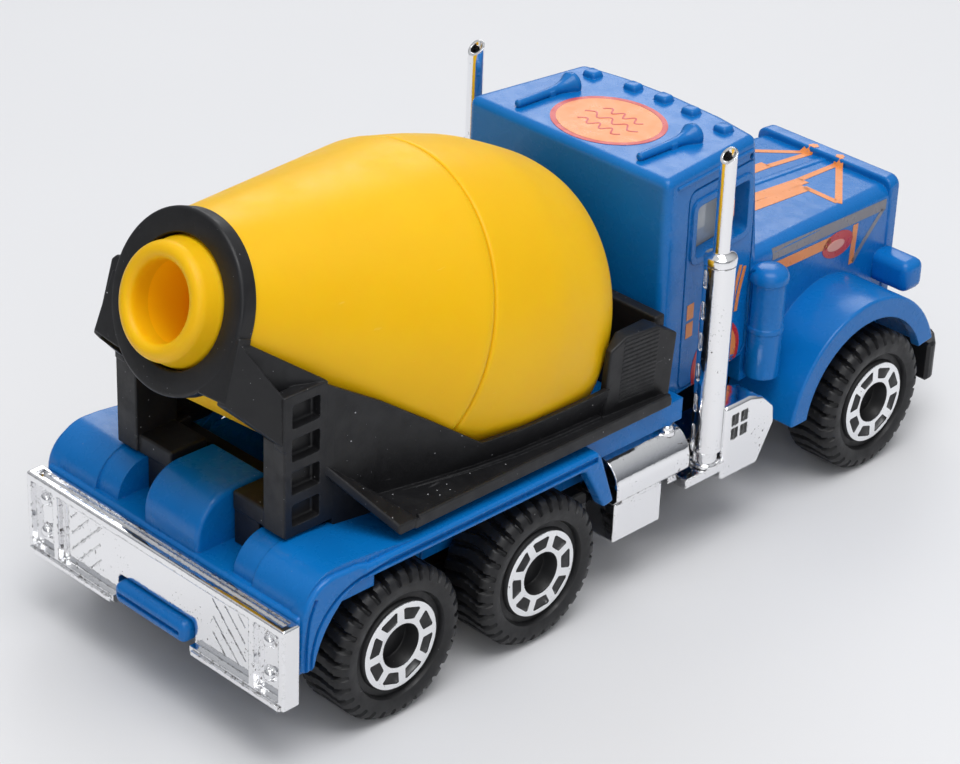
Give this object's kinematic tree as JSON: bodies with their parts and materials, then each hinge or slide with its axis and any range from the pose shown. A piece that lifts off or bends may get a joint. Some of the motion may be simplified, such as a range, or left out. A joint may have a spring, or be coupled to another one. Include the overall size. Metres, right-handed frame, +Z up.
{
  "type": "toy cement mixer truck",
  "caption": "Die-cast toy cement mixer truck: cab and deck, chromed trim, tilted drum turning in a rear frame, free-rolling wheels.",
  "frame": {"origin": "on the ground plane under the middle of the truck, centred between its sides and between its front bumper and tail tab", "axes": "+X to the truck's left, -Y towards the cab and the front bumper, +Z up"},
  "size_m": [0.0296, 0.0772, 0.0373],
  "materials": {
    "blue_enamel": "gloss",
    "clear_plastic": "gloss",
    "black_plastic": "satin",
    "chromed_plastic": "bright",
    "yellow_plastic": "satin",
    "axle_steel": "satin",
    "black_wheel_plastic": "satin"
  },
  "bodies": {
    "truck": {"body_casting": "blue_enamel", "window_glazing": "clear_plastic", "base_plate": "black_plastic", "rear_panel": "chromed_plastic", "tank_step_left": "chromed_plastic", "tank_step_right": "chromed_plastic", "exhaust_stack_left": "chromed_plastic", "exhaust_stack_right": "chromed_plastic", "mixer_frame": "black_plastic", "axle_front": "axle_steel", "axle_middle": "axle_steel", "axle_rear": "axle_steel"},
    "drum": {"drum_rear_shell": "yellow_plastic", "drum_front_shell": "yellow_plastic"},
    "wheel_front_left": {"wheel_front_left": "black_wheel_plastic"},
    "wheel_front_right": {"wheel_front_right": "black_wheel_plastic"},
    "wheel_middle_left": {"wheel_middle_left": "black_wheel_plastic"},
    "wheel_middle_right": {"wheel_middle_right": "black_wheel_plastic"},
    "wheel_rear_left": {"wheel_rear_left": "black_wheel_plastic"},
    "wheel_rear_right": {"wheel_rear_right": "black_wheel_plastic"}
  },
  "joints": [
    {"name": "drum_spin", "type": "hinge", "parent": "truck", "child": "drum", "pos_m": [0, 0.03551, 0.0311], "axis": [0, -0.9415, -0.3371], "continuous": true},
    {"name": "wheel_front_left_spin", "type": "hinge", "parent": "truck", "child": "wheel_front_left", "pos_m": [0.01235, -0.0269, 0.00611], "axis": [1, 0, 0], "continuous": true},
    {"name": "wheel_front_right_spin", "type": "hinge", "parent": "truck", "child": "wheel_front_right", "pos_m": [-0.01235, -0.0269, 0.00611], "axis": [1, 0, 0], "continuous": true},
    {"name": "wheel_middle_left_spin", "type": "hinge", "parent": "truck", "child": "wheel_middle_left", "pos_m": [0.01235, 0.01271, 0.00611], "axis": [1, 0, 0], "continuous": true},
    {"name": "wheel_middle_right_spin", "type": "hinge", "parent": "truck", "child": "wheel_middle_right", "pos_m": [-0.01235, 0.01271, 0.00611], "axis": [1, 0, 0], "continuous": true},
    {"name": "wheel_rear_left_spin", "type": "hinge", "parent": "truck", "child": "wheel_rear_left", "pos_m": [0.01235, 0.0271, 0.00611], "axis": [1, 0, 0], "continuous": true},
    {"name": "wheel_rear_right_spin", "type": "hinge", "parent": "truck", "child": "wheel_rear_right", "pos_m": [-0.01235, 0.0271, 0.00611], "axis": [1, 0, 0], "continuous": true}
  ]
}
